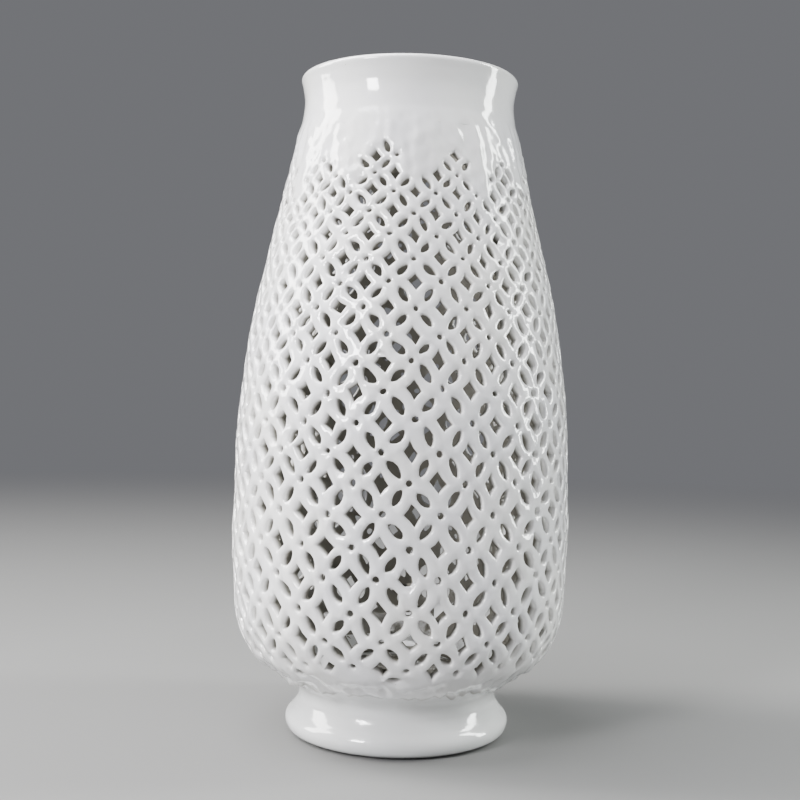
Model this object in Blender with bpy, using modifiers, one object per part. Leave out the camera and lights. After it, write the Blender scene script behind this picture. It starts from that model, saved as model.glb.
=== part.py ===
"""Pierced porcelain vase: a reticulated belly luted between a thrown neck collar and a spool foot.

Metres, +Z up. The origin is the centre of the resting face, and -Y is the front.
Angles round the axis are counted from the front (-Y) towards +X.
"""

import math

import bmesh
import bpy
from mathutils import Matrix, Vector

MM = 0.001

# Driving dimensions
HEIGHT = 356 * MM
WALL = 4.2 * MM  # thickness of the thrown walls
GAP = 0.3 * MM  # bed of slip between two luted pieces
STEPS = 40  # one facet for each column of the piercing
FIRST_COLUMN_DEG = 3.0
COLUMN_DEG = 360 / STEPS

# Outer line of the belly, from the foot joint up to the neck joint: (radius, height)
BELLY_LINE = [
    (67.6, 35.8), (77.9, 42.6), (84.8, 52.0), (89.6, 66.0), (91.8, 92.0),
    (92.0, 126.0), (89.0, 183.3), (81.0, 235.7), (68.9, 285.6), (60.6, 322.0),
]
# Outer line of the collar, from the neck joint up to the start of the lip
COLLAR_LINE = [(60.5, 322.4), (58.2, 331.5), (57.1, 341.5), (58.0, 349.0), (59.3, 353.7)]
LIP_RADIUS = 2.3  # mm, a full round on the rim

# Piercing lattice: squares and dots alternate like a chessboard
FIRST_ROW_HEIGHT = 51.0 * MM
ROWS = 20
ROW_STEP_LOW = 1.12  # row step as a share of the column width, at the lowest row
ROW_STEP_HIGH = 0.93  # the same at the highest row
SQUARE_HALF_WIDTH = 0.26  # half the diagonals of a square hole, as shares of the column width
SQUARE_HALF_HEIGHT = 0.30

# The piercing ends under plain lappets that hang from the collar
LAPPETS = 12
FIRST_ARCH_DEG = -11.5
ARCH_TOP = 0.887 * HEIGHT
ARCH_FOOT = 0.806 * HEIGHT
ARCH_CAP = 0.863 * HEIGHT  # the peak of each zigzag is cut off here

# Spool foot
FOOT_ROLL_RADIUS = 60.9
FOOT_ROLL_HEIGHT = 7.5
FOOT_SHOULDER_RADIUS = 10.3  # of the curve that joins the roll to the waist
FOOT_WAIST_RADIUS = 53.8
FOOT_WAIST_HEIGHT = 22.0
FLARE_RADIUS = 9.0  # of the hollow curve from the waist out to the belly
FOOT_TOP = 19.7  # the foot is luted to the flare above it here
FOOT_BORE_RADIUS = 46.2
FLOOR_SEAT_RADIUS = 50.2
FLOOR_UNDERSIDE = 23.8
FLOOR_THICKNESS = 5.6

# Colour and roughness of each piece: the same white glaze, cooler where it lies thicker
LOOKS = {
    "pierced_wall": ((0.80, 0.80, 0.82, 1.0), 0.16),
    "neck_collar": ((0.84, 0.84, 0.84, 1.0), 0.14),
    "foot_ring": ((0.80, 0.81, 0.80, 1.0), 0.16),
    "base_flare": ((0.79, 0.80, 0.80, 1.0), 0.16),
    "floor_disc": ((0.76, 0.76, 0.75, 1.0), 0.22),
    "floor_joint_slip": ((0.76, 0.76, 0.75, 1.0), 0.22),
    "foot_joint_slip": ((0.80, 0.80, 0.80, 1.0), 0.18),
    "neck_joint_slip": ((0.78, 0.77, 0.75, 1.0), 0.22),
}


# ---------------------------------------------------------------- outlines


def smooth_line(points, between=12):
    """A Catmull-Rom curve through the points, as a dense polyline of 2D vectors."""
    p = [Vector(q) for q in points]
    p = [2 * p[0] - p[1], *p, 2 * p[-1] - p[-2]]
    line = []
    for a, b, c, d in zip(p, p[1:], p[2:], p[3:]):
        for k in range(between):
            t = k / between
            line.append(
                0.5 * (2 * b + (c - a) * t + (2 * a - 5 * b + 4 * c - d) * t**2
                       + (3 * b - a - 3 * c + d) * t**3)
            )
    return [*line, p[-2]]


def arc(centre, radius, start_deg, end_deg, pieces):
    """Points of a circular arc, both ends included."""
    angles = [math.radians(start_deg + (end_deg - start_deg) * k / pieces) for k in range(pieces + 1)]
    return [(centre[0] + radius * math.cos(a), centre[1] + radius * math.sin(a)) for a in angles]


class Outline:
    """A line in the (radius, height) plane that is read by its length from the lower end."""

    def __init__(self, points):
        self.points = points
        self.lengths = [0.0]
        for a, b in zip(points, points[1:]):
            self.lengths.append(self.lengths[-1] + (b - a).length)

    def at(self, length):
        """(point, outward normal) at that length."""
        k = 1
        while k < len(self.lengths) - 1 and self.lengths[k] < length:
            k += 1
        a, b = self.points[k - 1], self.points[k]
        along = (b - a).normalized()
        share = (length - self.lengths[k - 1]) / (b - a).length
        return a.lerp(b, share), Vector((along.y, -along.x))

    def length_at_height(self, height):
        for k, (a, b) in enumerate(zip(self.points, self.points[1:])):
            if a.y <= height <= b.y:
                return self.lengths[k] + (b - a).length * (height - a.y) / (b.y - a.y)
        raise ValueError("the outline doesn't reach that height")

    def offset(self, length, outward):
        point, normal = self.at(length)
        return point + normal * outward


BELLY = Outline([q * MM for q in smooth_line(BELLY_LINE)])


def lattice_rows():
    """Lengths along the belly's outline of the rows of squares and dots, lowest first."""
    rows = [BELLY.length_at_height(FIRST_ROW_HEIGHT)]
    for j in range(ROWS - 1):
        radius = BELLY.at(rows[-1])[0].x
        share = ROW_STEP_LOW + (ROW_STEP_HIGH - ROW_STEP_LOW) * j / (ROWS - 2)
        rows.append(rows[-1] + share * radius * math.radians(COLUMN_DEG))
    return rows


def arch_height(angle_deg):
    """Height of the lappets' edge at that angle, a zigzag: the piercing stays below it."""
    pitch = 360 / LAPPETS
    off = (angle_deg - FIRST_ARCH_DEG + pitch / 2) % pitch - pitch / 2
    return min(ARCH_CAP, ARCH_TOP - (ARCH_TOP - ARCH_FOOT) * abs(off) / (pitch / 2))


# ---------------------------------------------------------------- Blender helpers


def clear_scene():
    for obj in list(bpy.data.objects):
        bpy.data.objects.remove(obj, do_unlink=True)


def new_collection(name):
    collection = bpy.data.collections.new(name)
    bpy.context.scene.collection.children.link(collection)
    return collection


def glaze(obj):
    colour, roughness = LOOKS[obj.name]
    material = bpy.data.materials.new(obj.name + "_glaze")
    material.use_nodes = True
    shader = material.node_tree.nodes["Principled BSDF"]
    shader.inputs["Base Color"].default_value = colour
    shader.inputs["Roughness"].default_value = roughness
    shader.inputs["Metallic"].default_value = 0.0
    material.diffuse_color = colour
    obj.data.materials.append(material)


def turned(name, profile, collection, closed=True):
    """A profile of (radius, height) turned round Z. It runs down its outer side first."""
    mesh = bpy.data.meshes.new(name)
    edges = [(k, k + 1) for k in range(len(profile) - 1)]
    if closed:
        edges.append((len(profile) - 1, 0))
    mesh.from_pydata([(r, 0, z) for r, z in profile], edges, [])
    obj = bpy.data.objects.new(name, mesh)
    collection.objects.link(obj)
    obj.rotation_euler.z = math.radians(FIRST_COLUMN_DEG + COLUMN_DEG / 2)
    glaze(obj)
    screw = obj.modifiers.new("turn", "SCREW")
    screw.axis = "Z"
    screw.steps = screw.render_steps = STEPS
    screw.use_merge_vertices = True
    screw.merge_threshold = 0.00005
    screw.use_smooth_shade = True
    return obj


def in_mm(points):
    return [(r * MM, z * MM) for r, z in points]


# ---------------------------------------------------------------- pieces


def make_cutters(rows, collection):
    """One four-sided prism for each square hole, all in one cutter object."""
    bm = bmesh.new()
    for j, length in enumerate(rows):
        point, normal = BELLY.at(length)
        column_width = point.x * math.radians(COLUMN_DEG)
        for i in range(STEPS):
            angle = FIRST_COLUMN_DEG + i * COLUMN_DEG
            if (i + j) % 2 == 0 or point.y > arch_height(angle):
                continue
            size = (SQUARE_HALF_WIDTH * column_width, SQUARE_HALF_HEIGHT * column_width, 4 * WALL, 1)
            place = (
                Matrix.Rotation(math.radians(angle), 4, "Z")
                @ Matrix.Translation((0, -point.x, point.y))
                @ Matrix.Rotation(math.atan2(normal.x, -normal.y), 4, "X")
                @ Matrix.Diagonal(size)
            )
            bmesh.ops.create_cone(
                bm, cap_ends=True, segments=4, radius1=1, radius2=1, depth=1, matrix=place
            )
    bmesh.ops.recalc_face_normals(bm, faces=bm.faces)
    mesh = bpy.data.meshes.new("square_cutters")
    bm.to_mesh(mesh)
    bm.free()
    obj = bpy.data.objects.new("square_cutters", mesh)
    obj.hide_render = True
    obj.display_type = "WIRE"
    collection.objects.link(obj)
    return obj


def make_pierced_wall(rows, parts, cutters):
    """The belly: a shell with one facet round each lattice point and the square holes cut through."""
    middles = [(a + b) / 2 for a, b in zip(rows, rows[1:])]
    low = 1.5 * rows[0] - 0.5 * rows[1]
    high = 1.5 * rows[-1] - 0.5 * rows[-2]
    whole = BELLY.lengths[-1]
    rings = [0, low * 0.5, low, *middles, high, whole]
    profile = [BELLY.at(length)[0] for length in reversed(rings)]
    wall = turned("pierced_wall", profile, parts, closed=False)
    thick = wall.modifiers.new("thickness", "SOLIDIFY")
    thick.thickness = WALL
    thick.offset = -1
    thick.use_even_offset = True
    cut = wall.modifiers.new("piercing", "BOOLEAN")
    cut.operation = "DIFFERENCE"
    cut.solver = "EXACT"
    cut.object = make_cutters(rows, cutters)
    return wall


def make_neck_collar(parts):
    """The plain collar with its rolled lip, open at both ends."""
    outer = [tuple(q) for q in smooth_line(COLLAR_LINE, between=2)]
    line = Outline([Vector(q) for q in outer])
    inner = [tuple(line.offset(length, -WALL / MM)) for length in line.lengths[:-1]]
    centre = (outer[-1][0] - LIP_RADIUS, outer[-1][1])
    lip = arc(centre, LIP_RADIUS, 180, 0, 6)
    profile = [*lip[1:], *reversed(outer[:-1]), *inner, lip[0]]
    return turned("neck_collar", in_mm(profile), parts)


def make_foot_ring(parts):
    """The foot: a rolled base under a waist, with a straight bore and a flat resting face."""
    centre = (FOOT_ROLL_RADIUS - FOOT_SHOULDER_RADIUS, FOOT_ROLL_HEIGHT)
    roll = arc(centre, FOOT_SHOULDER_RADIUS, 68, 0, 4)
    under = arc((FOOT_ROLL_RADIUS - FOOT_ROLL_HEIGHT, FOOT_ROLL_HEIGHT), FOOT_ROLL_HEIGHT, 0, -90, 3)
    inside = [
        (FOOT_BORE_RADIUS + 1.8, 0),
        (FOOT_BORE_RADIUS, 1.8),
        (FOOT_BORE_RADIUS, FOOT_TOP),
    ]
    profile = [(FOOT_WAIST_RADIUS, FOOT_TOP), *roll, *under[1:], *inside]
    return turned("foot_ring", in_mm(profile), parts)


def make_base_flare(parts):
    """The flare that carries the belly on the foot, with a ledge inside for the floor."""
    joint, joint_normal = BELLY.at(0)
    along = Vector((-joint_normal.y, joint_normal.x))
    top = (joint - along * GAP) / MM
    inner_top = top - joint_normal * (WALL / MM)
    flare_deg = math.degrees(math.atan2(along.y, along.x))
    centre = (FOOT_WAIST_RADIUS + FLARE_RADIUS, FOOT_WAIST_HEIGHT)
    flare = arc(centre, FLARE_RADIUS, 90 + flare_deg, 180, 4)
    bottom = FOOT_TOP + GAP / MM
    ledge = FLOOR_UNDERSIDE - GAP / MM
    inside = [
        (FOOT_BORE_RADIUS, bottom),
        (FOOT_BORE_RADIUS, ledge),
        (FLOOR_SEAT_RADIUS, ledge),
        (FLOOR_SEAT_RADIUS, FLOOR_UNDERSIDE + FLOOR_THICKNESS),
    ]
    profile = [tuple(top), *flare, (FOOT_WAIST_RADIUS, bottom), *inside, tuple(inner_top)]
    return turned("base_flare", in_mm(profile), parts)


def make_floor(parts):
    """The disc that closes the vase, set on the foot's ledge."""
    radius = FLOOR_SEAT_RADIUS - GAP / MM
    top = FLOOR_UNDERSIDE + FLOOR_THICKNESS
    edge = 0.8
    bm = bmesh.new()
    bmesh.ops.create_cone(
        bm, cap_ends=True, segments=STEPS, radius1=radius * MM, radius2=radius * MM,
        depth=FLOOR_THICKNESS * MM,
        matrix=Matrix.Translation((0, 0, (FLOOR_UNDERSIDE + top) / 2 * MM)),
    )
    rim = [e for e in bm.edges if len({round(v.co.z, 6) for v in e.verts}) == 1]
    bmesh.ops.bevel(bm, geom=rim, offset=edge * MM, segments=1, affect="EDGES")
    mesh = bpy.data.meshes.new("floor_disc")
    bm.to_mesh(mesh)
    bm.free()
    obj = bpy.data.objects.new("floor_disc", mesh)
    obj.rotation_euler.z = math.radians(FIRST_COLUMN_DEG + COLUMN_DEG / 2)
    glaze(obj)
    parts.objects.link(obj)
    return obj


def make_floor_slip(parts):
    """Slip pressed into the corner where the floor meets the inside of the flare."""
    top = FLOOR_UNDERSIDE + FLOOR_THICKNESS + GAP / MM
    profile = [(54.2, top + 2.35), (50.4, top), (45.2, top), (46.2, top + 0.9), (50.2, top + 2.0)]
    return turned("floor_joint_slip", in_mm(profile), parts)


def make_seam(name, line, middle, half_length, side, bulge, parts):
    """A ring of slip along a butt joint: side 1 stands on the outer face, side -1 on the inner one."""
    offsets = [-1, -0.5, 0, 0.5, 1]
    face = GAP if side > 0 else -(WALL + GAP)
    edge = 0.35 * MM
    against = [line.offset(middle + a * half_length, face) for a in (-1, 0, 1)]
    free = [
        line.offset(middle + a * half_length, face + side * (edge + bulge * (1 - a * a)))
        for a in offsets
    ]
    if side > 0:
        profile = [*reversed(free), *against]
    else:
        profile = [*reversed(against), *free]
    return turned(name, [tuple(q) for q in profile], parts)


def main():
    clear_scene()
    parts = new_collection("pierced_vase")
    cutters = new_collection("cutters")
    make_pierced_wall(lattice_rows(), parts, cutters)
    make_neck_collar(parts)
    make_base_flare(parts)
    make_foot_ring(parts)
    make_floor(parts)
    make_floor_slip(parts)
    joined_line = [(61.7, 30.6), *BELLY_LINE, *COLLAR_LINE[1:3]]
    whole = Outline([q * MM for q in smooth_line(joined_line)])
    foot_joint = whole.length_at_height(BELLY_LINE[0][1] * MM)
    neck_joint = whole.length_at_height(BELLY_LINE[-1][1] * MM)
    make_seam("foot_joint_slip", whole, foot_joint, 1.6 * MM, 1, 0.8 * MM, parts)
    make_seam("neck_joint_slip", whole, neck_joint, 5 * MM, -1, 1.2 * MM, parts)


main()
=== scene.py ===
"""Looks of a white porcelain vase: a hand-cut openwork belly, a plain collar and a spool foot.

Metres, +Z up, -Y the front. Angles round the axis count from the front towards +X, in degrees.
Outlines and small sizes are in millimetres for a vase 356 mm tall, and MM turns them into metres.
"""

import math

import bpy
import numpy as np
from mathutils import Matrix, Vector
from mathutils.geometry import delaunay_2d_cdt


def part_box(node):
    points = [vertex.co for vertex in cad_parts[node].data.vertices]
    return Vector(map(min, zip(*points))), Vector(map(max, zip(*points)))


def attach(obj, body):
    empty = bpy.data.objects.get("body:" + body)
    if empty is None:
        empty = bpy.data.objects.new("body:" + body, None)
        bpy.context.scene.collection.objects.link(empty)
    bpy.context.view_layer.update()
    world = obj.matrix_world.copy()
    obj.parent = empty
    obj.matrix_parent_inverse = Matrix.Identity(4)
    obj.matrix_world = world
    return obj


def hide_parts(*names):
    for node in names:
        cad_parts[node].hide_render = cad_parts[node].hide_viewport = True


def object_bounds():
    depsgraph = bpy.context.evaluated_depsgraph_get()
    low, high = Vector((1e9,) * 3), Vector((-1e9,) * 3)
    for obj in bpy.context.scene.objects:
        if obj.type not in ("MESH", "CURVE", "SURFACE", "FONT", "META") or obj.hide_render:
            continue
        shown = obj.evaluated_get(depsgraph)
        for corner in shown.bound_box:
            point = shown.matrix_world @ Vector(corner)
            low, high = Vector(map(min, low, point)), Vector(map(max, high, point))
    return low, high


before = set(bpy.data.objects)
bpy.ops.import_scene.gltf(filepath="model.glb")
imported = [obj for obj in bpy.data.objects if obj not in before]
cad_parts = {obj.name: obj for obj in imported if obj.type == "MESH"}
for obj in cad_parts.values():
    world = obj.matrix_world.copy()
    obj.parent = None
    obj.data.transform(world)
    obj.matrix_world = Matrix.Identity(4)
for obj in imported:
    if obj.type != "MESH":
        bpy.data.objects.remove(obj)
CAD_LOW, CAD_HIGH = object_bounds()

# Driving dimensions
HEIGHT = CAD_HIGH.z - CAD_LOW.z
MM = HEIGHT / 356
WALL = 4.6 * MM
COLUMNS = 40
COLUMN_DEG = 360 / COLUMNS
FIRST_COLUMN_DEG = 3.0
FACETS = 280  # round the turned pieces
FACET_ANGLES = np.arange(FACETS) * 360 / FACETS

# Outline of the pot from the foot joint to the lip: (radius, height)
BODY_LINE = [
    (61.0, 31.0), (66.4, 35.6), (77.6, 42.4), (84.6, 52.0), (89.3, 66.0), (91.3, 92.0),
    (91.4, 126.0), (88.8, 183.3), (80.8, 235.7), (68.8, 285.6), (60.5, 322.0), (58.1, 331.5),
    (57.0, 341.5), (57.9, 349.0), (59.1, 353.75),
]
WALL_START = 34.6  # height of the ragged lower edge of the belly
COLLAR_START = 322.0  # height of the joint of belly and collar
LIP_RADIUS = 2.2 * MM

# Outline of the foot, from under the belly down to the resting face
FOOT_LINE = [
    (66.2, 36.8), (62.8, 33.2), (59.4, 30.6), (55.6, 27.4), (54.0, 23.4), (54.4, 18.6),
    (57.2, 13.6), (60.4, 9.8), (61.1, 6.6), (59.9, 3.0), (57.0, 1.0), (53.4, 0.0),
]
# The hollow of the foot: its bore, then the floor's seat and the inside of the flare
FOOT_BORE = [(48.2, 0.0), (46.8, 0.6), (46.2, 2.2), (46.2, 23.4)]
FOOT_INSIDE = [(46.2, 23.5), (50.2, 23.6), (50.2, 29.4), (60.0, 35.8), (63.2, 38.6)]
FLOOR_SLIP_RADIUS = 52.0  # the slip in the corner of floor and foot

# Piercing lattice: squares and dots alternate like a chessboard, with a petal between each four
FIRST_ROW_HEIGHT = 51.0
ROWS = 20
ROW_STEP_LOW = 1.12  # row step as a share of the column width, at the lowest row
ROW_STEP_HIGH = 0.93  # the same at the highest row
STRAY_COLUMNS = (7.5, 15.5, 23.5, 35.5, 39.5)  # one more cut under the lowest row
EDGE_ROUND = 0.75 * MM  # glaze softens the edge of each cut

# The piercing ends under plain lappets that hang from the collar
LAPPETS = 12
FIRST_ARCH_DEG = -11.5
ARCH_TOP = 0.887 * HEIGHT
ARCH_FOOT = 0.806 * HEIGHT
ARCH_CAP = 0.866 * HEIGHT  # where the peaks of the zigzag are cut off
ARCH_CAP_CHANGE = 0.006 * HEIGHT  # every other one a little higher

# Colours
# painted shade: a darker glaze colour that stands in for the shade inside the vase
INSIDE_PAINTED_SHADE = (0.22, 0.21, 0.18)
# the cut edges: paler thin glaze, and partly a painted highlight along them
EDGE_GLAZE_AND_HIGHLIGHT = (0.88, 0.87, 0.85)
PINHOLES = (0.30, 0.27, 0.24)
BACKDROP = (0.17, 0.173, 0.185)

# Soft lights: name, azimuth, distance and height in metres, (width, height), power, colour
LIGHTS = [
    ("window_left", -98, 1.4, 1.15, (0.55, 1.9), 86, (1.0, 0.985, 0.955)),
    ("window_front", -39, 1.0, 0.577, (0.23, 0.32), 16, (0.99, 0.985, 1.0)),
    ("window_right", 95, 1.1, 0.65, (0.22, 1.1), 25, (0.96, 1.0, 0.97)),
    ("ceiling", -70, 0.45, 1.25, (0.9, 0.9), 29, (0.97, 0.975, 1.0)),
]

# Camera: place in heights of the vase, lens and sensor in millimetres, angles in degrees
CAMERA_PLACE = (-0.0046, -1.8333, 0.5415)
CAMERA_LENS, CAMERA_SENSOR = 53.28, 36
CAMERA_DOWN_DEG, CAMERA_ROLL_DEG = 1.01, 1.26

rng = np.random.default_rng(11)


# ---------------------------------------------------------------- outlines


class Outline:
    """A smooth line in the (radius, height) plane, read by its length from its first point."""

    def __init__(self, points, between=24):
        p = np.array(points, float) * MM
        p = np.vstack([2 * p[0] - p[1], p, 2 * p[-1] - p[-2]])
        t = np.linspace(0, 1, between, endpoint=False)[:, None]
        spans = [
            0.5 * (2 * b + (c - a) * t + (2 * a - 5 * b + 4 * c - d) * t**2
                   + (3 * b - a - 3 * c + d) * t**3)
            for a, b, c, d in zip(p, p[1:], p[2:], p[3:])
        ]
        self.points = np.vstack([*spans, p[-2]])
        steps = np.linalg.norm(np.diff(self.points, axis=0), axis=1)
        self.lengths = np.concatenate([[0], np.cumsum(steps)])
        ahead = np.gradient(self.points, self.lengths, axis=0)
        ahead /= np.linalg.norm(ahead, axis=1, keepdims=True)
        self.normals = np.column_stack([ahead[:, 1], -ahead[:, 0]])

    def at(self, length, outward=0.0):
        """(radius, height) at these lengths, moved outward by that much."""
        columns = (*self.points.T, *self.normals.T)
        radius, height, side, up = [np.interp(length, self.lengths, column) for column in columns]
        return radius + outward * side, height + outward * up

    def stretch(self, start, end, count, outward=0.0):
        """That many points between two lengths, one row each."""
        return np.column_stack(self.at(np.linspace(start, end, count), outward))

    def length_at_height(self, height):
        return float(np.interp(height, self.points[:, 1], self.lengths))


BODY = Outline(BODY_LINE)
BODY_LENGTH = BODY.lengths[-1]
WALL_LENGTH = BODY.length_at_height(WALL_START * MM)
COLLAR_LENGTH = BODY.length_at_height(COLLAR_START * MM)


def arc(centre, radius, start_deg, end_deg, count):
    """That many points of a circular arc, both ends included."""
    a = np.radians(np.linspace(start_deg, end_deg, count))
    return np.column_stack([centre[0] + radius * np.cos(a), centre[1] + radius * np.sin(a)])


def place(radius, height, angle_deg):
    """Points in space, one row each."""
    angle = np.radians(angle_deg)
    return np.column_stack([radius * np.sin(angle), -radius * np.cos(angle), height])


# ---------------------------------------------------------------- relief of the glazed face


class Waves:
    """A smooth random field round the pot: a sum of waves, about 1 high, that closes on itself."""

    def __init__(self, across, upward, count=18, radius=80):
        """across and upward are wavelengths in millimetres, round a pot of that radius and up it."""
        turn = rng.uniform(0, 2 * math.pi, count)
        size = rng.uniform(0.6, 1.4, count)
        self.round = np.round(2 * math.pi * radius / across * np.cos(turn) * size)
        self.up = 2 * math.pi / (upward * MM) * np.sin(turn) * size
        self.phase = rng.uniform(0, 2 * math.pi, count)

    def __call__(self, angle_deg, height):
        round_part = np.multiply.outer(np.radians(angle_deg), self.round)
        up_part = np.multiply.outer(height, self.up)
        waves = np.cos(round_part + up_part + self.phase)
        return waves.sum(axis=-1) / math.sqrt(len(self.phase) / 2)


SWELLS = Waves(60, 45)  # slow unevenness of the thrown wall
RIPPLES = Waves(17, 17)  # tool marks
DRIPS = Waves(12, 45)  # runs of glaze on the lappets
PEEL = Waves(7, 9)  # orange peel
FOLDS = Waves(26, 6)  # smears of slip above the foot
SCALLOP = Waves(11, 80)  # the ragged lower edge of the belly
RIDGE_STRENGTH = Waves(70, 200)  # where the edge of the lappets stands up
DRIFT_ACROSS = Waves(90, 60)  # how the lattice wanders
DRIFT_UP = Waves(90, 60)


def smooth_step(value, start, end):
    """0 up to the start, 1 from the end, and a smooth rise between them."""
    t = np.clip((value - start) / (end - start), 0, 1)
    return t * t * (3 - 2 * t)


def above(height, start, end):
    """0 below the start and 1 above the end, which are shares of the vase's height."""
    return smooth_step(height, start * HEIGHT, end * HEIGHT)


def arch_height(angle_deg):
    """Height of the zigzag edge of the lappets at that angle."""
    pitch = 360 / LAPPETS
    from_first = angle_deg - FIRST_ARCH_DEG
    off = (from_first + pitch / 2) % pitch - pitch / 2
    cap = ARCH_CAP + ARCH_CAP_CHANGE * np.cos(np.radians(from_first * LAPPETS / 2))
    return np.minimum(cap, ARCH_TOP - (ARCH_TOP - ARCH_FOOT) * np.abs(off) / (pitch / 2))


def lappet_relief(angle_deg, height):
    """Runs of glaze on the lappets and the ridge along their zigzag edge, in millimetres."""
    border = arch_height(angle_deg) + 3.0 * MM + 1.6 * MM * RIPPLES(angle_deg, height)
    runs = 0.26 * DRIPS(angle_deg, height) + 0.12 * PEEL(angle_deg, height)
    raised = 0.35 * smooth_step(height, border - 2.5 * MM, border + 1.0 * MM)
    strength = np.clip(0.35 + 0.45 * RIDGE_STRENGTH(angle_deg, height), 0.05, 1)
    ridge = 0.65 * strength * np.exp(-(((height - border) / (2.2 * MM)) ** 2))
    return runs + raised + ridge


def relief(angle_deg, height):
    """How far the glazed outer face stands off its turned outline."""
    on_collar = above(height, 0.90, 0.94)
    on_lappets = above(height, 0.785, 0.83) * (1 - above(height, 0.88, 0.932))
    by_foot = 1 - above(height, 0.108, 0.148)
    on_ledge = 1 - above(height, 0.098, 0.110)
    swells = 0.17 * SWELLS(angle_deg, height)
    marks = 0.08 * RIPPLES(angle_deg, height) + 0.02 * PEEL(angle_deg, height)
    smears = 0.50 * FOLDS(angle_deg, height) + 0.35 * PEEL(angle_deg, height)
    off = swells * (1 - 0.6 * on_collar) + marks * (1 - 0.85 * on_collar)
    off += on_lappets * lappet_relief(angle_deg, height)
    off += by_foot * smears + 1.6 * on_ledge
    return off * MM


# ---------------------------------------------------------------- meshes


def new_mesh_object(name, points, triangles, quads, **marks):
    """A smooth-shaded object from arrays. Each mark holds one number for each point."""
    mesh = bpy.data.meshes.new(name)
    sizes = np.concatenate([np.full(len(triangles), 3), np.full(len(quads), 4)]).astype(np.int32)
    corners = np.concatenate([np.ravel(triangles), np.ravel(quads)]).astype(np.int32)
    mesh.vertices.add(len(points))
    mesh.vertices.foreach_set("co", np.ravel(points).astype(np.float32))
    mesh.loops.add(len(corners))
    mesh.loops.foreach_set("vertex_index", corners)
    mesh.polygons.add(len(sizes))
    starts = np.concatenate([[0], np.cumsum(sizes)[:-1]]).astype(np.int32)
    mesh.polygons.foreach_set("loop_start", starts)
    mesh.update(calc_edges=True)
    mesh.validate()
    for key, values in marks.items():
        layer = mesh.attributes.new(key, "FLOAT", "POINT")
        layer.data.foreach_set("value", np.ravel(values).astype(np.float32))
    mesh.shade_smooth()
    mesh.set_sharp_from_angle(angle=math.radians(60))
    obj = bpy.data.objects.new(name, mesh)
    bpy.context.scene.collection.objects.link(obj)
    return obj


def ring_of_sections(name, radius, height, inner):
    """A closed section turned round the axis, from arrays of one row for each facet.

    inner marks how far each point lies inside the vase, from 0 to 1, and so how much painted shade
    it takes.
    """
    index = np.arange(radius.size).reshape(radius.shape)
    ahead = np.roll(index, -1, axis=0)
    corners = [index, ahead, np.roll(ahead, -1, axis=1), np.roll(index, -1, axis=1)]
    quads = np.stack(corners, axis=-1).reshape(-1, 4)
    angles = np.repeat(FACET_ANGLES, radius.shape[1])
    points = place(radius.ravel(), height.ravel(), angles)
    inner = np.broadcast_to(inner, radius.shape)
    return new_mesh_object(name, points, [], quads, edge=np.zeros(radius.size), inner=inner)


def lathe(name, profile, inner, relief_share=None):
    """A closed profile of (radius, height), counter-clockwise, turned round the axis.

    relief_share says how much of the outer relief each point of the profile takes.
    """
    shape = (FACETS, len(profile))
    radius = np.broadcast_to(profile[:, 0], shape)
    height = np.broadcast_to(profile[:, 1], shape)
    if relief_share is not None:
        angles = np.broadcast_to(FACET_ANGLES[:, None], shape)
        radius = radius + relief_share * relief(angles, height)
    return ring_of_sections(name, radius, height, inner)


def bead(name, centre, radius, flatness, waver, inner):
    """A ring of slip, elliptical in section, that wavers in height and thickness."""
    section = arc((0, 0), 1.0, 0, 345, 20)
    size = np.clip(1 + waver * RIPPLES(FACET_ANGLES, 0.0), 0.3, 1.6)[:, None]
    lift = SCALLOP(FACET_ANGLES, 0.0)[:, None] * 0.5 * waver * radius
    across = centre[0] + section[:, 0] * radius * flatness * size
    upward = centre[1] + section[:, 1] * radius * size + lift
    return ring_of_sections(name, across, upward, inner)


# ---------------------------------------------------------------- the lattice


class Lattice:
    """The grid that the piercing follows: u counts columns round the pot, t counts rows up it."""

    def __init__(self, beyond=12):
        """The grid runs on that many rows past the lowest and the highest."""
        rows = [BODY.length_at_height(FIRST_ROW_HEIGHT * MM)]
        for step in np.linspace(ROW_STEP_LOW, ROW_STEP_HIGH, ROWS - 1):
            rows.append(rows[-1] + step * BODY.at(rows[-1])[0] * math.radians(COLUMN_DEG))
        lowest = rows[0] - beyond * (rows[1] - rows[0])
        highest = rows[-1] + beyond * (rows[-1] - rows[-2])
        self.lengths = np.array([lowest, *rows, highest])
        self.t = np.array([-beyond, *range(ROWS), ROWS - 1 + beyond])
        self.t_low = self.row_at(WALL_LENGTH)
        self.t_high = self.row_at(COLLAR_LENGTH)

    def length(self, t):
        return np.interp(t, self.t, self.lengths)

    def row_at(self, length):
        return np.interp(length, self.lengths, self.t)

    def angle(self, u):
        return FIRST_COLUMN_DEG + np.asarray(u) * COLUMN_DEG

    def height(self, t):
        return BODY.at(self.length(t))[1]

    def cell_size(self, t):
        """(width, height) of a cell at row t, in metres."""
        width = BODY.at(self.length(t))[0] * math.radians(COLUMN_DEG)
        return np.array([width, self.length(t + 0.5) - self.length(t - 0.5)])


LATTICE = Lattice()


# ---------------------------------------------------------------- the cuts in the wall


def turned(points, angle_deg):
    """Points in the plane, turned counter-clockwise about the origin."""
    a = math.radians(angle_deg)
    c, s = math.cos(a), math.sin(a)
    return points @ np.array([[c, s], [-s, c]])


def square_outline(long_half=0.268, short_half=0.220, corner=0.034, bow=0.96):
    """A hand-cut square on its corner, longer along one pair of sides, in cell units."""
    corners = ((1, 1), (-1, 1), (-1, -1), (1, -1))
    middles = ((0, short_half), (-long_half, 0), (0, -short_half), (long_half, 0))
    points = []
    for k, ((x, y), middle) in enumerate(zip(corners, middles)):
        centre = np.array([x * (long_half - corner), y * (short_half - corner)])
        for step in (15, 75):
            a = math.radians(90 * k + step)
            points.append(centre + corner * np.array([math.cos(a), math.sin(a)]))
        points.append(bow * np.array(middle))  # the side after the corner, bowed in a little
    narrower, taller = 0.86, 1.04
    return turned(np.array(points), -45) * (narrower, taller)


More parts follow.
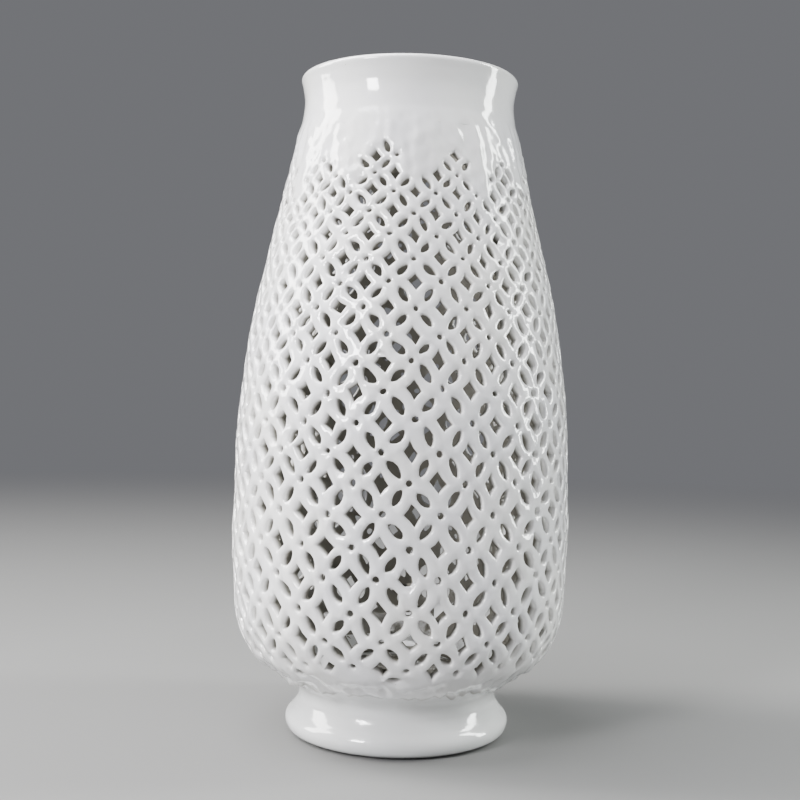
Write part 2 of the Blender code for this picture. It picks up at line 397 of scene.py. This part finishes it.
def dot_outline(half_width=0.128, half_height=0.122):
    a = np.arange(8) * 2 * math.pi / 8
    return np.column_stack([half_width * np.cos(a), half_height * np.sin(a)])


def petal_outline(half_length, half_width):
    """A lens with pointed tips, along x, in cell units."""
    a = np.arange(12) * 2 * math.pi / 12
    bow = np.sin(a) * np.abs(np.sin(a)) ** 0.4
    return np.column_stack([half_length * np.cos(a), half_width * bow])


SQUARE = square_outline()
DOT = dot_outline()
FALLING_PETAL = turned(petal_outline(0.350, 0.172), -56)
RISING_PETAL = turned(petal_outline(0.315, 0.162), 51)
STRAY = petal_outline(0.28, 0.21)


def lattice_cuts():
    """(u, t, outline) of each cut, before the hand's small errors."""
    cuts = [(u, -0.5, STRAY) for u in STRAY_COLUMNS]
    for i in range(COLUMNS):
        for j in range(ROWS + 1):
            odd = (i + j) % 2
            cuts.append((i, j, SQUARE if odd else DOT))
            cuts.append((i + 0.5, j + 0.5, FALLING_PETAL if odd else RISING_PETAL))
    return [cut for cut in cuts if LATTICE.height(cut[1]) < arch_height(LATTICE.angle(cut[0]))]


def hand_cut(outline):
    """The outline with a cutter's errors: size, turn, a skew and a wavering edge."""
    angle = np.arctan2(outline[:, 1], outline[:, 0])
    wobble = 1 + 0.04 * np.cos(2 * angle + rng.uniform(0, 6.3))
    wobble += 0.04 * np.cos(3 * angle + rng.uniform(0, 6.3))
    skew = 1 + outline[:, ::-1] * np.clip(rng.normal(0, 0.4, 2), -0.6, 0.6)
    stretch = 1 + rng.normal(0, 0.08, 2)
    cut = outline * wobble[:, None] * skew * stretch
    reach = np.linalg.norm(cut, axis=1).max() / np.linalg.norm(outline, axis=1).max()
    return turned(cut / max(1, reach / 1.07), rng.normal(0, 6))


def grown(loop, by):
    """A counter-clockwise loop moved outward by that distance."""
    ahead = np.roll(loop, -1, axis=0) - loop
    ahead /= np.linalg.norm(ahead, axis=1, keepdims=True)
    side = np.column_stack([ahead[:, 1], -ahead[:, 0]])
    corner = side + np.roll(side, 1, axis=0)
    corner /= np.linalg.norm(corner, axis=1, keepdims=True)
    return loop + by * corner / np.maximum(0.75, (corner * side).sum(axis=1, keepdims=True))


def cut_loops():
    """For each cut: its column u, and its loops in (u, t) on the wall's face and in the hole."""
    cuts = []
    for u, t, outline in lattice_cuts():
        where = (LATTICE.angle(u), LATTICE.height(t))
        drift = 0.05 * np.array([DRIFT_ACROSS(*where), DRIFT_UP(*where)])
        centre = np.array([u, t]) + drift + np.clip(rng.normal(0, 0.03, 2), -0.045, 0.045)
        cell = LATTICE.cell_size(t)
        loop = hand_cut(outline) * cell
        cuts.append((u, [centre + grown(loop, EDGE_ROUND) / cell, centre + loop / cell]))
    keep_apart(cuts)
    return cuts


def keep_apart(cuts, least=0.06, shrunk=0.9):
    """Shrinks any two cuts that the cutter's errors bring too near each other, in cell units."""
    centres = np.array([loops[1].mean(axis=0) for _, loops in cuts])
    for k, (_, loops) in enumerate(cuts):
        off = centres[k + 1:] - centres[k]
        turns = np.round(off[:, 0] / COLUMNS) * COLUMNS
        for m in np.nonzero(np.hypot(off[:, 0] - turns, off[:, 1]) < 1)[0]:
            other = cuts[k + 1 + m][1]
            beside = other[0] - [turns[m], 0]
            if np.linalg.norm(loops[0][:, None] - beside, axis=2).min() < least:
                for pair, centre in ((loops, centres[k]), (other, centres[k + 1 + m])):
                    pair[:] = [centre + shrunk * (loop - centre) for loop in pair]


# ---------------------------------------------------------------- the pierced wall


def inside(point, loop):
    """Whether a point lies in a counter-clockwise loop that bulges everywhere."""
    ahead = np.roll(loop, -1, axis=0) - loop
    to_point = point - loop
    return bool((ahead[:, 0] * to_point[:, 1] - ahead[:, 1] * to_point[:, 0] > -1e-4).all())


def filler_points(cuts, step=0.19, jitter=0.03, clear=0.09):
    """Extra points (u, t) on the plain parts of the wall, clear of every cut."""
    across = np.arange(0, COLUMNS, step)
    upward = np.arange(LATTICE.t_low + step, LATTICE.t_high - 0.6 * step, step)
    u, t = np.meshgrid(across, upward)
    u = u + (np.arange(len(upward)) % 2)[:, None] * step / 2
    u = u + rng.uniform(-jitter, jitter, u.shape)
    t = t + rng.uniform(-jitter, jitter, t.shape)
    points = np.column_stack([u.ravel(), t.ravel()])
    free = np.ones(len(points), bool)
    for column, (edge, _) in cuts:
        beside = points.copy()
        beside[:, 0] -= np.round((points[:, 0] - column) / COLUMNS) * COLUMNS
        low, high = edge.min(axis=0) - clear, edge.max(axis=0) + clear
        for k in np.nonzero(((beside > low) & (beside < high)).all(axis=1))[0]:
            gap = np.linalg.norm(edge - beside[k], axis=1).min()
            free[k] &= gap >= clear and not inside(beside[k], edge)
    return points[free]


def wall_ring(t):
    """The points of the wall's lower or upper edge, on the facets of the turned pieces."""
    u = np.arange(FACETS) * COLUMNS / FACETS - FIRST_COLUMN_DEG / COLUMN_DEG
    return np.column_stack([np.sort(u % COLUMNS), np.full(FACETS, t)])


def number_loops(sizes):
    """For points stored loop after loop: the loop of each, its place in it, and the edges."""
    loop_of = np.repeat(np.arange(len(sizes)), sizes)
    place_in_loop = np.concatenate([np.arange(n) for n in sizes])
    starts = np.cumsum(sizes) - sizes
    following = [start + np.roll(np.arange(n), -1) for start, n in zip(starts, sizes)]
    edges = np.column_stack([np.arange(sum(sizes)), np.concatenate(following)])
    return loop_of, place_in_loop, edges


def triangulated(points, columns, loop_edges, margin=2.5):
    """Triangles over the wall's developed face, closed round the pot.

    The face is laid out with its first and last columns repeated past each end. Each triangle is
    then kept from the copy whose middle lies on the pot itself.
    """
    copies = [
        (np.arange(len(points)), 0),
        (np.nonzero(columns < margin)[0], COLUMNS),
        (np.nonzero(columns > COLUMNS - margin)[0], -COLUMNS),
    ]
    laid, edges, start = [], [], 0
    for members, shift in copies:
        number = np.full(len(points), -1)
        number[members] = start + np.arange(len(members))
        ends = number[loop_edges]
        edges.append(ends[(ends >= 0).all(axis=1)])
        laid.append(points[members] + [shift, 0])
        start += len(members)
    laid, edges = np.vstack(laid), np.vstack(edges)
    source = np.concatenate([members for members, _ in copies])
    found = delaunay_2d_cdt([Vector(p) for p in laid], edges.tolist(), [], 0, 1e-9, True)
    if len(found[0]) != len(laid):
        raise ValueError("two cuts touch")
    order = np.array([made[0] for made in found[3]])
    corners = order[np.array(found[2])]
    middle = laid[corners].mean(axis=1)[:, 0]
    return source[corners[(middle >= 0) & (middle < COLUMNS)]]


def fills_a_cut(triangles, loop_of, place_in_loop):
    """Which triangles lie in a cut: all corners on one loop, in that loop's own direction."""
    fills = (triangles < len(loop_of)).all(axis=1)
    loops = loop_of[triangles[fills]]
    a, b, c = place_in_loop[triangles[fills]].T
    forward = ((a < b) & (b < c)) | ((b < c) & (c < a)) | ((c < a) & (a < b))
    fills[fills] = (loops == loops[:, :1]).all(axis=1) & forward
    return fills


def on_wall(flat, depth):
    """Points in space for (u, t) on the wall's face, that deep under it.

    The lowest 7 mm run to a ragged edge, and the inner face takes less of the relief.
    """
    angle = LATTICE.angle(flat[:, 0])
    length = LATTICE.length(flat[:, 1])
    ragged = 1 - smooth_step(length, WALL_LENGTH, WALL_LENGTH + 7 * MM)
    length = length + ragged * (0.8 * SCALLOP(angle, length) - 0.4) * MM
    height = BODY.at(length)[1]
    share = 1 - 0.7 * depth / WALL
    radius, height = BODY.at(length, relief(angle, height) * share - depth)
    return place(radius, height, angle)


def rim_quads(low_start, inner_start):
    """The wall's lower and upper edge faces, between its outer and inner rings."""
    k = np.arange(FACETS)
    low, low_ahead = low_start + k, low_start + np.roll(k, -1)
    high, high_ahead = low + FACETS, low_ahead + FACETS
    bottom = np.column_stack([low, inner_start + low, inner_start + low_ahead, low_ahead])
    top = np.column_stack([high, high_ahead, inner_start + high_ahead, inner_start + high])
    return np.vstack([bottom, top])


def pierced_wall():
    """The belly: both faces of the wall, the rounded edges of the cuts, and the cuts' sides."""
    cuts = cut_loops()
    plain = np.vstack([filler_points(cuts), wall_ring(LATTICE.t_low), wall_ring(LATTICE.t_high)])
    sizes = [len(edge) for _, (edge, _) in cuts]
    throat = np.vstack([throat for _, (_, throat) in cuts])
    face = np.vstack([*(edge for _, (edge, _) in cuts), plain])
    back = np.vstack([throat, plain])
    columns = np.concatenate([np.repeat([u for u, _ in cuts], sizes), plain[:, 0]])
    loop_of, place_in_loop, loop_edges = number_loops(sizes)
    triangles = triangulated(face, columns, loop_edges)
    triangles = triangles[~fills_a_cut(triangles, loop_of, place_in_loop)]

    points = np.vstack([on_wall(face, 0), on_wall(throat, EDGE_ROUND), on_wall(back, WALL)])
    to_throat, to_back = len(face), len(face) + len(throat)
    sides = [
        np.column_stack([outer + loop_edges, inner + loop_edges[:, ::-1]])
        for outer, inner in ((0, to_throat), (to_throat, to_back))
    ]
    quads = np.vstack([*sides, rim_quads(len(face) - 2 * FACETS, to_back)])
    edge, inner = np.zeros(len(points)), np.zeros(len(points))
    # the cuts' sides by the face take the edge colour: thin glaze and a painted highlight
    edge[to_throat:to_back] = 1
    # painted shade: the wall's inner face takes the full inside colour
    inner[to_back:] = 1
    inner[: len(face)][face[:, 1] <= LATTICE.t_low] = 0.6  # painted shade: a dark line along the ragged edge, where shadow falls under it
    triangles = np.vstack([triangles, to_back + triangles[:, ::-1]])
    return new_mesh_object("pierced_wall_cut", points, triangles, quads, edge=edge, inner=inner)


# ---------------------------------------------------------------- turned pieces


def neck_collar():
    """The plain collar: its outer face, the round lip and the inner face."""
    outer = BODY.stretch(COLLAR_LENGTH, BODY_LENGTH, 44)
    lip = arc(outer[-1] - [LIP_RADIUS, 0], LIP_RADIUS, 12, 168, 13)
    inner = BODY.stretch(BODY_LENGTH - 1.2 * MM, COLLAR_LENGTH, 30, -WALL)
    profile = np.vstack([outer, lip, inner])
    # painted shade: the collar's inner face darkens towards the inside colour, more of it further
    # down
    depths = [np.zeros(len(outer) + len(lip)), np.linspace(0.2, 1, len(inner))]
    shares = [np.ones(len(outer)), np.linspace(0.9, 0.3, len(lip)), np.full(len(inner), 0.3)]
    return lathe("neck_collar_turned", profile, np.concatenate(depths), np.concatenate(shares))


def foot():
    """The spool foot, with the flare that carries the belly and the ledge for the floor."""
    outer, bore = Outline(FOOT_LINE), Outline(FOOT_BORE)
    outside = outer.stretch(outer.lengths[-1], 0, 90)
    inside_line = np.array(FOOT_INSIDE[::-1]) * MM
    hollow = bore.stretch(bore.lengths[-1], 0, 16)[1:]
    return lathe("foot_ring_turned", np.vstack([outside, inside_line, hollow]), 0.0)


def floor_disc():
    """The floor, with its upper edge rounded."""
    low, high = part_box("floor_disc")
    edge = 0.8 * MM
    axis = 0.02 * MM  # a pinprick is left open, so that no face there has a side of no length
    corner = arc((high.x - edge, high.z - edge), edge, 0, 90, 6)
    profile = np.vstack([[(axis, low.z), (high.x, low.z)], corner, [(axis, high.z)]])
    # painted shade: the floor takes the full inside colour
    return lathe("floor_disc_turned", profile, 1.0)


def foot_joint_bead():
    """A thin ragged line of slip under the lower edge of the belly."""
    seam = BODY.at(WALL_LENGTH - 0.6 * MM, -0.6 * MM)
    return bead("foot_joint_bead", seam, 0.9 * MM, flatness=0.8, waver=0.6, inner=0.0)


def neck_joint_ridge():
    """The ridge inside, where belly and collar meet."""
    low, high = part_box("neck_joint_slip")
    middle, half = (low.z + high.z) / 2, (high.z - low.z) / 2
    wall = BODY.at(BODY.length_at_height(middle), -WALL)[0]
    # painted shade: the ridge takes the full inside colour
    return bead("neck_joint_ridge", (wall, middle), half, flatness=0.25, waver=0.1, inner=1.0)


def floor_joint_ridge():
    """Slip pressed into the corner of floor and foot."""
    corner = (FLOOR_SLIP_RADIUS * MM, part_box("floor_joint_slip")[1].z - 0.4 * MM)
    # painted shade: the ridge takes the full inside colour
    return bead("floor_joint_ridge", corner, 2.0 * MM, flatness=1.4, waver=0.15, inner=1.0)


# ---------------------------------------------------------------- materials


def node_of(tree, kind, **settings):
    node = tree.nodes.new(kind)
    for key, value in settings.items():
        setattr(node, key, value)
    return node


def noise(tree, scale, detail=2.0):
    """Noise in the object's own space, with that many features to the millimetre."""
    where = node_of(tree, "ShaderNodeTexCoord")
    made = node_of(tree, "ShaderNodeTexNoise")
    made.inputs["Scale"].default_value = scale / MM
    made.inputs["Detail"].default_value = detail
    tree.links.new(where.outputs["Object"], made.inputs["Vector"])
    return made.outputs["Fac"]


def mapped(tree, value, low, high, to_low=0.0, to_high=1.0):
    made = node_of(tree, "ShaderNodeMapRange", clamp=True)
    names = ("From Min", "From Max", "To Min", "To Max")
    for name, number in zip(names, (low, high, to_low, to_high)):
        made.inputs[name].default_value = number
    tree.links.new(value, made.inputs["Value"])
    return made.outputs["Result"]


def mixed(tree, share, first, second):
    """A colour between two, each a colour or a socket."""
    made = node_of(tree, "ShaderNodeMix", data_type="RGBA")
    tree.links.new(share, made.inputs[0])
    for socket, value in ((made.inputs[6], first), (made.inputs[7], second)):
        if isinstance(value, tuple):
            socket.default_value = (*value, 1.0)
        else:
            tree.links.new(value, socket)
    return made.outputs[2]


def attribute(tree, name):
    return node_of(tree, "ShaderNodeAttribute", attribute_name=name).outputs["Fac"]


def pinholes(tree):
    """Rare small dark specks, about a third of a millimetre wide."""
    where = node_of(tree, "ShaderNodeTexCoord")
    cells = node_of(tree, "ShaderNodeTexVoronoi")
    cells.inputs["Scale"].default_value = 0.075 / MM
    tree.links.new(where.outputs["Object"], cells.inputs["Vector"])
    return mapped(tree, cells.outputs["Distance"], 0.012, 0.022, 1.0, 0.0)


def glaze_colour(tree, thick, thin):
    """Clouds of thicker and thinner glaze, cut edges paler from thin glaze and a painted highlight,
    painted shade on the inside and along the belly's ragged edge, and pinholes.
    """
    clouds = mapped(tree, noise(tree, 0.022), 0.35, 0.65)
    colour = mixed(tree, clouds, thick, thin)
    # paler cut edges: thin glaze, and partly a painted highlight
    edge_pale_and_highlight = mapped(tree, attribute(tree, "edge"), 0, 1, 0, 0.65)
    colour = mixed(tree, edge_pale_and_highlight, colour, EDGE_GLAZE_AND_HIGHLIGHT)
    # painted shade: darker where the inner mark says a point lies inside the vase
    painted_inside_shade = mapped(tree, attribute(tree, "inner"), 0.1, 0.8)
    colour = mixed(tree, painted_inside_shade, colour, INSIDE_PAINTED_SHADE)
    return mixed(tree, pinholes(tree), colour, PINHOLES)


def glaze(name, thick, thin, roughness):
    """Glossy white glaze: cooler where it is thick, with a light orange peel."""
    material = bpy.data.materials.new(name)
    material.use_nodes = True
    tree = material.node_tree
    links = tree.links
    shader = tree.nodes["Principled BSDF"]
    links.new(glaze_colour(tree, thick, thin), shader.inputs["Base Color"])
    gloss = mapped(tree, noise(tree, 0.12), 0.3, 0.7, roughness * 0.7, roughness * 1.4)
    links.new(gloss, shader.inputs["Roughness"])
    shader.inputs["IOR"].default_value = 1.52
    shader.inputs["Coat Weight"].default_value = 0.6
    shader.inputs["Coat Roughness"].default_value = 0.04
    bump = node_of(tree, "ShaderNodeBump")
    bump.inputs["Strength"].default_value = 0.35
    bump.inputs["Distance"].default_value = 0.35 * MM
    links.new(noise(tree, 0.16, 1.0), bump.inputs["Height"])
    links.new(bump.outputs["Normal"], shader.inputs["Normal"])
    links.new(bump.outputs["Normal"], shader.inputs["Coat Normal"])
    return material


def pale_floor():
    """A plain dull floor that fades into the backdrop with distance, so that no horizon shows."""
    material = bpy.data.materials.new("pale_floor")
    material.use_nodes = True
    tree = material.node_tree
    shader = tree.nodes["Principled BSDF"]
    shader.inputs["Base Color"].default_value = (0.17, 0.17, 0.168, 1.0)
    shader.inputs["Roughness"].default_value = 0.65
    backdrop = node_of(tree, "ShaderNodeEmission")
    backdrop.inputs["Color"].default_value = (*BACKDROP, 1.0)
    where = node_of(tree, "ShaderNodeTexCoord")
    distance = node_of(tree, "ShaderNodeVectorMath", operation="LENGTH")
    tree.links.new(where.outputs["Object"], distance.inputs[0])
    fade = node_of(tree, "ShaderNodeMixShader")
    tree.links.new(mapped(tree, distance.outputs["Value"], 0.3, 1.8), fade.inputs[0])
    tree.links.new(shader.outputs["BSDF"], fade.inputs[1])
    tree.links.new(backdrop.outputs["Emission"], fade.inputs[2])
    tree.links.new(fade.outputs["Shader"], tree.nodes["Material Output"].inputs["Surface"])
    return material


# ---------------------------------------------------------------- the vase and the room


def dress(obj, material, *nodes):
    """Glazes a piece, fixes it to the vase and lets it stand for those CAD nodes."""
    obj.data.materials.append(material)
    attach(obj, "root")
    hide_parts(*nodes)


def vase():
    lattice_glaze = glaze("lattice_glaze", (0.76, 0.76, 0.785), (0.79, 0.785, 0.775), 0.13)
    collar_glaze = glaze("collar_glaze", (0.77, 0.77, 0.79), (0.80, 0.80, 0.79), 0.10)
    foot_glaze = glaze("foot_glaze", (0.70, 0.71, 0.715), (0.74, 0.745, 0.74), 0.12)
    slip_glaze = glaze("slip_glaze", (0.70, 0.70, 0.70), (0.74, 0.73, 0.71), 0.2)
    dress(pierced_wall(), lattice_glaze, "pierced_wall")
    dress(neck_collar(), collar_glaze, "neck_collar")
    dress(foot(), foot_glaze, "foot_ring", "base_flare")
    dress(floor_disc(), slip_glaze, "floor_disc")
    dress(foot_joint_bead(), foot_glaze, "foot_joint_slip")
    dress(neck_joint_ridge(), slip_glaze, "neck_joint_slip")
    dress(floor_joint_ridge(), slip_glaze, "floor_joint_slip")


def area_light(name, azimuth_deg, distance, height, size, power, colour):
    """A soft window-like light that faces the vase. Azimuth counts like the pot's angles."""
    light = bpy.data.lights.new(name, "AREA")
    light.shape = "RECTANGLE"
    light.size, light.size_y = size
    light.energy = power
    light.color = colour
    obj = bpy.data.objects.new(name, light)
    bpy.context.scene.collection.objects.link(obj)
    a = math.radians(azimuth_deg)
    obj.location = (distance * math.sin(a), -distance * math.cos(a), height)
    aim = Vector((0, 0, 0.5 * HEIGHT)) - obj.location
    obj.rotation_euler = aim.to_track_quat("-Z", "Y").to_euler()


def stage_floor(half=40):
    """A floor far wider than any view of the vase."""
    mesh = bpy.data.meshes.new("floor")
    corners = [(-half, -half, 0), (half, -half, 0), (half, half, 0), (-half, half, 0)]
    mesh.from_pydata(corners, [], [(0, 1, 2, 3)])
    floor = bpy.data.objects.new("floor", mesh)
    bpy.context.scene.collection.objects.link(floor)
    floor.data.materials.append(pale_floor())


def studio():
    world = bpy.data.worlds.new("room")
    world.use_nodes = True
    world.node_tree.nodes["Background"].inputs["Color"].default_value = (*BACKDROP, 1.0)
    bpy.context.scene.world = world
    for light in LIGHTS:
        area_light(*light)
    stage_floor()


def camera():
    """A near-level view from 1.83 heights away, a little above the middle of the vase."""
    data = bpy.data.cameras.new("camera")
    data.sensor_width = CAMERA_SENSOR
    data.lens = CAMERA_LENS
    obj = bpy.data.objects.new("camera", data)
    bpy.context.scene.collection.objects.link(obj)
    tilt = Matrix.Rotation(math.radians(90 - CAMERA_DOWN_DEG), 4, "X")
    roll = Matrix.Rotation(math.radians(CAMERA_ROLL_DEG), 4, "Z")
    obj.matrix_world = Matrix.Translation(Vector(CAMERA_PLACE) * HEIGHT) @ tilt @ roll
    bpy.context.scene.camera = obj


vase()
studio()
camera()
